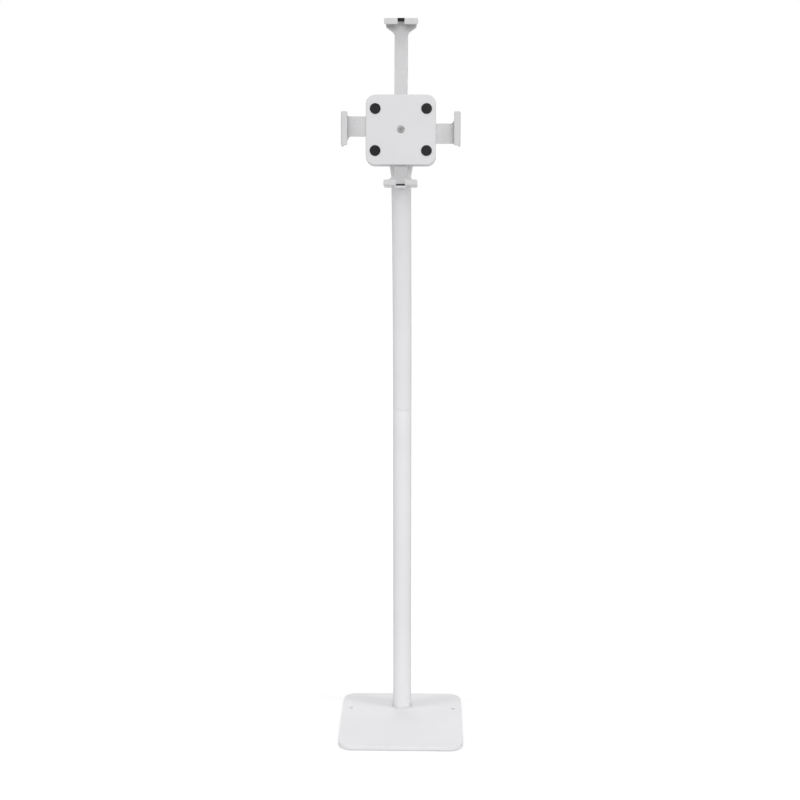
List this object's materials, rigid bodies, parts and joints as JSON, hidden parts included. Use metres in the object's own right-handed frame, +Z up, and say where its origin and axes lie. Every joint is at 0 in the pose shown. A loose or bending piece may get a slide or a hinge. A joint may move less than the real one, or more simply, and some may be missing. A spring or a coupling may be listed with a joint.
{
  "type": "adjustable tablet floor stand",
  "caption": "Free-standing floor stand for a tablet: flat base plate, forward-curved pole, and a tilting, turning holder with sliding hooks and a key lock.",
  "frame": {"origin": "on the floor under the middle of the base plate", "axes": "+Z up the pole, front (the side the screen faces) towards -Y, +X to the right seen from behind the holder's front, that is to the viewer's right"},
  "size_m": [0.2, 0.2, 1.1351],
  "materials": {
    "white_steel": "fine satin powder coat",
    "white_cast_alloy": "satin powder coat on a casting",
    "white_plastic": "fine matt moulding texture",
    "hook_plastic": "satin moulding",
    "black_rubber": "matt",
    "nylon": "natural nylon",
    "bright_steel": "zinc plated",
    "lock_chrome": "polished"
  },
  "bodies": {
    "stand": {"base_plate": "white_steel", "base_feet": "black_rubber", "pole_screw": "bright_steel", "pole_dowel": "bright_steel", "pole_foot_plug": "bright_steel", "foot_ring": "white_plastic", "lower_tube": "white_steel", "lower_tube_insert": "bright_steel", "joining_stud": "bright_steel", "upper_tube_insert": "bright_steel", "upper_tube": "white_steel", "neck_fork": "white_cast_alloy", "neck_screw": "bright_steel", "tilt_bolt": "bright_steel", "tilt_bolt_washers": "bright_steel", "tilt_nut": "bright_steel"},
    "tilt_head": {"swivel_disc": "white_cast_alloy", "tilt_friction_washers": "nylon"},
    "holder": {"holder_rear_cover": "white_plastic", "holder_front_cover": "white_plastic", "front_pads": "black_rubber", "guide_plate": "bright_steel", "pinion_pin": "bright_steel", "bottom_arm": "hook_plastic", "bottom_arm_screws": "bright_steel", "bottom_hook_lining": "black_rubber", "cover_screws": "bright_steel", "swivel_liner": "nylon", "swivel_bolt": "bright_steel", "swivel_washer": "bright_steel", "swivel_nut": "bright_steel", "lock_barrel": "lock_chrome", "lock_nut": "bright_steel"},
    "left_side_arm": {"left_arm": "hook_plastic", "left_hook_lining": "black_rubber"},
    "right_side_arm": {"right_arm": "hook_plastic", "right_hook_lining": "black_rubber"},
    "pinion": {"pinion_gear": "nylon"},
    "top_slide": {"top_arm": "hook_plastic", "top_hook_lining": "black_rubber"},
    "lock": {"lock_plug": "lock_chrome", "lock_cam": "bright_steel"},
    "latch": {"latch_pawl": "bright_steel"}
  },
  "joints": [
    {"name": "tilt", "type": "hinge", "parent": "stand", "child": "tilt_head", "pos_m": [0, -0.02603, 0.93998], "axis": [-1, 0, 0], "range_deg": [-11, 60]},
    {"name": "holder_turn", "type": "hinge", "parent": "tilt_head", "child": "holder", "pos_m": [0, -0.06103, 0.97398], "axis": [0, -0.9816, 0.1908], "continuous": true},
    {"name": "left_arm_slide", "type": "slide", "parent": "holder", "child": "left_side_arm", "axis": [-1, 0, 0], "range_m": [-0.022, 0.018]},
    {"name": "right_arm_slide", "type": "slide", "parent": "holder", "child": "right_side_arm", "axis": [1, 0, 0], "range_m": [-0.022, 0.018]},
    {"name": "pinion_turn", "type": "hinge", "parent": "holder", "child": "pinion", "pos_m": [0, -0.06103, 0.97398], "axis": [0, -0.9816, 0.1908], "range_deg": [-105.1, 86]},
    {"name": "top_arm_slide", "type": "slide", "parent": "holder", "child": "top_slide", "axis": [0, 0.1908, 0.9816], "range_m": [-0.042, 0.015]},
    {"name": "lock_turn", "type": "hinge", "parent": "holder", "child": "lock", "pos_m": [0.03, -0.05568, 1.00147], "axis": [0, -0.9816, 0.1908], "range_deg": [0, 90]},
    {"name": "latch_slide", "type": "slide", "parent": "holder", "child": "latch", "axis": [-1, 0, 0], "range_m": [0, 0.0022]}
  ],
  "couplings": [
    {"joint": "left_arm_slide", "follows": "right_arm_slide", "ratio": 1},
    {"joint": "pinion_turn", "follows": "right_arm_slide", "rad_per_m": 83.333},
    {"joint": "lock_turn", "follows": "latch_slide", "rad_per_m": 713.99}
  ]
}
